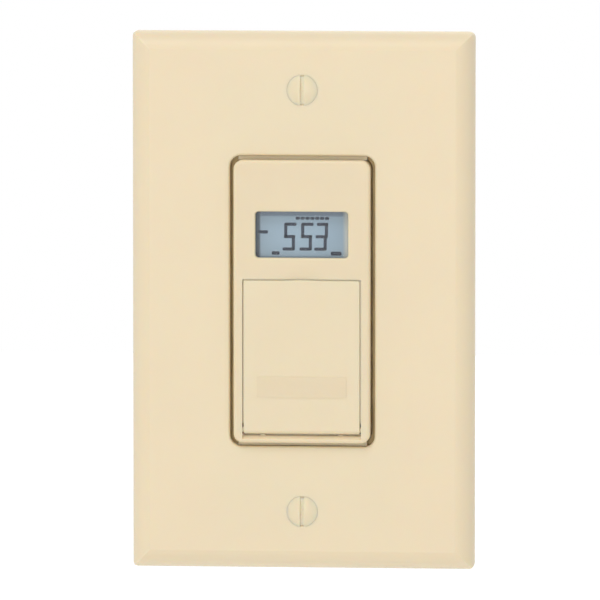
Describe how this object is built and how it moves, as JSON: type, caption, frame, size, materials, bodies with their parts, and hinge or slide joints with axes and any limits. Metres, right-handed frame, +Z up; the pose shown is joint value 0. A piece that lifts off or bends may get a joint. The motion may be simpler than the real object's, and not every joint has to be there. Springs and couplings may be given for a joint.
{
  "type": "programmable timer light switch",
  "caption": "Single-gang programmable wall timer switch with a display, a flip-down door over its keys, a wall plate, a metal strap and a rear housing.",
  "frame": {"origin": "on the wall's face, which is the strap's and the plate's back, midway between the two screws that hold the timer in its wall box: the mount wall_seat", "axes": "+Z up along the plate, +Y into the wall along the box screws, +X to the right as seen from the room"},
  "size_m": [0.0786, 0.0407, 0.1234],
  "materials": {
    "ivory_plate": "smooth moulded ivory plastic with a low gloss",
    "ivory_paint": "ivory paint over steel",
    "zinc_steel": "zinc plated pressed steel",
    "zinc_screws": "zinc plated steel screws",
    "fibre": "dark vulcanised fibre",
    "brass": "dull brass",
    "ivory_bezel": "smooth moulded ivory plastic, a shade deeper than the plate",
    "ivory_door": "smooth moulded ivory plastic with a low gloss",
    "button_ivory": "moulded ivory plastic keys",
    "plunger_black": "black switch plungers",
    "switch_case": "small pressed switch cases",
    "clear_lens": "clear moulded lens",
    "display_glass": "grey-blue reflective liquid crystal glass",
    "black_plastic": "black moulded plastic",
    "backing_silver": "silvered backing sheet",
    "strip_rubber": "layered conductive rubber",
    "board_green": "green circuit board",
    "can_metal": "drawn metal can",
    "relay_case": "moulded relay case",
    "film_yellow": "film capacitor box",
    "varistor_blue": "dipped disc",
    "resistor_tan": "coated resistor",
    "cell_wrap": "plain sleeve over a steel cell",
    "ivory_tray": "moulded ivory tray",
    "nickel": "nickel plated spring steel",
    "housing_black": "black moulded flame-retardant plastic"
  },
  "bodies": {
    "timer": {"wall_plate": "ivory_plate", "plate_screws": "ivory_paint", "mounting_strap": "zinc_steel", "mounting_screws": "zinc_screws", "screw_retainers": "fibre", "ground_rivet": "brass", "front_bezel": "ivory_bezel", "push_switches": "switch_case", "display_lens": "clear_lens", "display_glass": "display_glass", "display_holder": "black_plastic", "display_backing": "backing_silver", "contact_strips": "strip_rubber", "logic_board": "board_green", "board_screws": "zinc_screws", "microcontroller": "black_plastic", "timing_crystal": "can_metal", "board_header": "black_plastic", "power_board": "board_green", "power_board_screws": "zinc_screws", "relay": "relay_case", "dropper_capacitor": "film_yellow", "filter_capacitors": "can_metal", "surge_varistor": "varistor_blue", "bridge_rectifier": "black_plastic", "fusible_resistor": "resistor_tan", "battery": "cell_wrap", "battery_tray": "ivory_tray", "battery_front_contact": "nickel", "battery_spring": "nickel", "rear_housing": "housing_black", "housing_screws": "zinc_screws"},
    "door": {"door": "ivory_door"},
    "on_off_key": {"on_off_button": "button_ivory", "on_off_plunger": "plunger_black"},
    "mode_key": {"mode_button": "button_ivory", "mode_plunger": "plunger_black"},
    "minus_key": {"minus_button": "button_ivory", "minus_plunger": "plunger_black"},
    "plus_key": {"plus_button": "button_ivory", "plus_plunger": "plunger_black"},
    "reset_key": {"reset_button": "button_ivory", "reset_plunger": "plunger_black"}
  },
  "joints": [
    {"name": "door_hinge", "type": "hinge", "parent": "timer", "child": "door", "pos_m": [0, -0.0066, -0.0294], "axis": [1, 0, 0], "range_deg": [-1, 110]},
    {"name": "on_off_press", "type": "slide", "parent": "timer", "child": "on_off_key", "axis": [0, 1, 0], "range_m": [0, 0.0005], "stiffness_N_per_m": 2500, "springref_m": -0.0002},
    {"name": "mode_press", "type": "slide", "parent": "timer", "child": "mode_key", "axis": [0, 1, 0], "range_m": [0, 0.0005], "stiffness_N_per_m": 2500, "springref_m": -0.0002},
    {"name": "minus_press", "type": "slide", "parent": "timer", "child": "minus_key", "axis": [0, 1, 0], "range_m": [0, 0.0005], "stiffness_N_per_m": 2500, "springref_m": -0.0002},
    {"name": "plus_press", "type": "slide", "parent": "timer", "child": "plus_key", "axis": [0, 1, 0], "range_m": [0, 0.0005], "stiffness_N_per_m": 2500, "springref_m": -0.0002},
    {"name": "reset_press", "type": "slide", "parent": "timer", "child": "reset_key", "axis": [0, 1, 0], "range_m": [0, 0.0005], "stiffness_N_per_m": 2500, "springref_m": -0.0002}
  ]
}
